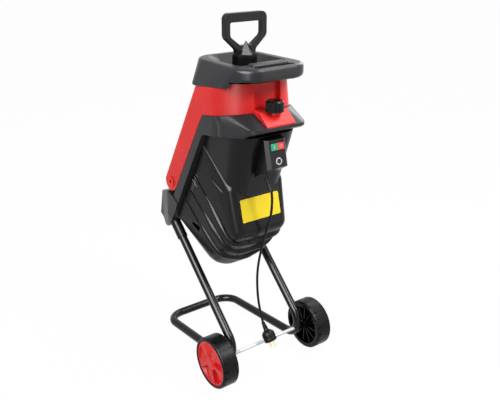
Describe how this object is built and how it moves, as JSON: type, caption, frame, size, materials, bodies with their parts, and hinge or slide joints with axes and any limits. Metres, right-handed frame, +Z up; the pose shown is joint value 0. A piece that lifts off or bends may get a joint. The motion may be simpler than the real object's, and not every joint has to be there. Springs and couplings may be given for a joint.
{
  "type": "garden shredder",
  "caption": "Upright electric garden shredder: red tapered hopper with a plunger on a leaning grey cutter housing and black motor cover, on a bent-tube stand with wheels.",
  "frame": {"origin": "on the floor, midway across the machine and midway between the wheels' front and the rear bar's back", "axes": "+Z up, +X along the axle to the right seen from the switch side, -Y towards the switch side"},
  "size_m": [0.392, 0.4614, 1.0108],
  "materials": {
    "black_tube": "gloss black powder coat on steel tube",
    "zinc_steel": "zinc plated steel",
    "bright_steel": "ground steel",
    "core_steel": "dull machined steel",
    "aluminium": "die cast",
    "copper_wire": "copper, lacquered",
    "brass": "machined brass",
    "tyre": "hard black plastic tyre",
    "black_plastic": "black moulded plastic",
    "cover_plastic": "near-black fine-grained moulding",
    "grey_plastic": "dark grey fine-grained moulding",
    "red_plastic": "bright red satin moulding",
    "light_plastic": "light grey moulding",
    "green_plastic": "green push button",
    "red_button": "red push button",
    "yellow_film": "plain yellow film",
    "soft_black": "black soft plastic"
  },
  "bodies": {
    "base": {"stand_tube": "black_tube", "axle_rod": "zinc_steel", "axle_spacers": "black_plastic", "axle_clips": "zinc_steel", "cutter_housing": "grey_plastic", "leg_sockets": "black_plastic", "leg_bolts": "zinc_steel", "hinge_pins": "zinc_steel", "lock_seat": "brass", "motor_cover": "cover_plastic", "cover_screws": "zinc_steel", "front_sticker": "yellow_film", "motor_plate": "aluminium", "gear_case": "aluminium", "spindle_bearing": "bright_steel", "motor_can": "zinc_steel", "stator_core": "core_steel", "field_windings": "copper_wire", "brush_holders": "black_plastic", "rotor_bearings": "bright_steel", "switch_box": "cover_plastic", "switch_bezel": "black_plastic", "reset_ring": "light_plastic", "strain_relief": "soft_black", "supply_cord": "soft_black", "plug_body": "soft_black", "plug_pins": "brass"},
    "hopper": {"hopper_shell": "red_plastic", "hopper_collar": "grey_plastic", "feed_chute": "black_plastic", "counter_blade": "bright_steel"},
    "knob": {"lock_knob": "black_plastic", "lock_stud": "zinc_steel"},
    "plunger": {"plunger_handle": "black_plastic", "plunger_stem": "black_plastic"},
    "left_wheel": {"left_tyre": "tyre", "left_wheel_core": "black_plastic", "left_hub_cap": "red_plastic"},
    "right_wheel": {"right_tyre": "tyre", "right_wheel_core": "black_plastic", "right_hub_cap": "red_plastic"},
    "cutter": {"spindle": "bright_steel", "spindle_gear": "core_steel", "cutter_disc": "core_steel", "knives": "bright_steel", "knife_screws": "zinc_steel", "disc_bolt": "zinc_steel"},
    "rotor": {"rotor_shaft": "bright_steel", "rotor_core": "core_steel", "commutator": "copper_wire", "cooling_fan": "black_plastic"},
    "on_press": {"on_button": "green_plastic"},
    "off_press": {"off_button": "red_button"},
    "reset_press": {"reset_button": "black_plastic"}
  },
  "joints": [
    {"name": "hopper_hinge", "type": "hinge", "parent": "base", "child": "hopper", "pos_m": [0, 0.1269, 0.52328], "axis": [-1, 0, 0], "range_deg": [0, 75]},
    {"name": "plunger_slide", "type": "slide", "parent": "hopper", "child": "plunger", "axis": [0, 0, 1], "range_m": [0, 0.18]},
    {"name": "knob_turn", "type": "hinge", "parent": "hopper", "child": "knob", "pos_m": [0, -0.18575, 0.778], "axis": [0, 0, 1], "continuous": true},
    {"name": "left_wheel_spin", "type": "hinge", "parent": "base", "child": "left_wheel", "pos_m": [-0.17, -0.15575, 0.075], "axis": [1, 0, 0], "continuous": true},
    {"name": "right_wheel_spin", "type": "hinge", "parent": "base", "child": "right_wheel", "pos_m": [0.17, -0.15575, 0.075], "axis": [1, 0, 0], "continuous": true},
    {"name": "cutter_spin", "type": "hinge", "parent": "base", "child": "cutter", "pos_m": [0, 0.08225, 0.514], "axis": [0, -0.891, -0.454], "continuous": true},
    {"name": "rotor_spin", "type": "hinge", "parent": "base", "child": "rotor", "pos_m": [0, 0.10132, 0.47658], "axis": [0, -0.891, -0.454], "continuous": true},
    {"name": "on_push", "type": "slide", "parent": "base", "child": "on_press", "axis": [0, 0.9763, -0.2164], "range_m": [0, 0.003], "stiffness_N_per_m": 400},
    {"name": "off_push", "type": "slide", "parent": "base", "child": "off_press", "axis": [0, 0.9763, -0.2164], "range_m": [0, 0.003], "stiffness_N_per_m": 400},
    {"name": "reset_push", "type": "slide", "parent": "base", "child": "reset_press", "axis": [0, 0.9763, -0.2164], "range_m": [0, 0.003], "stiffness_N_per_m": 400}
  ],
  "couplings": [
    {"joint": "rotor_spin", "follows": "cutter_spin", "ratio": -3}
  ]
}
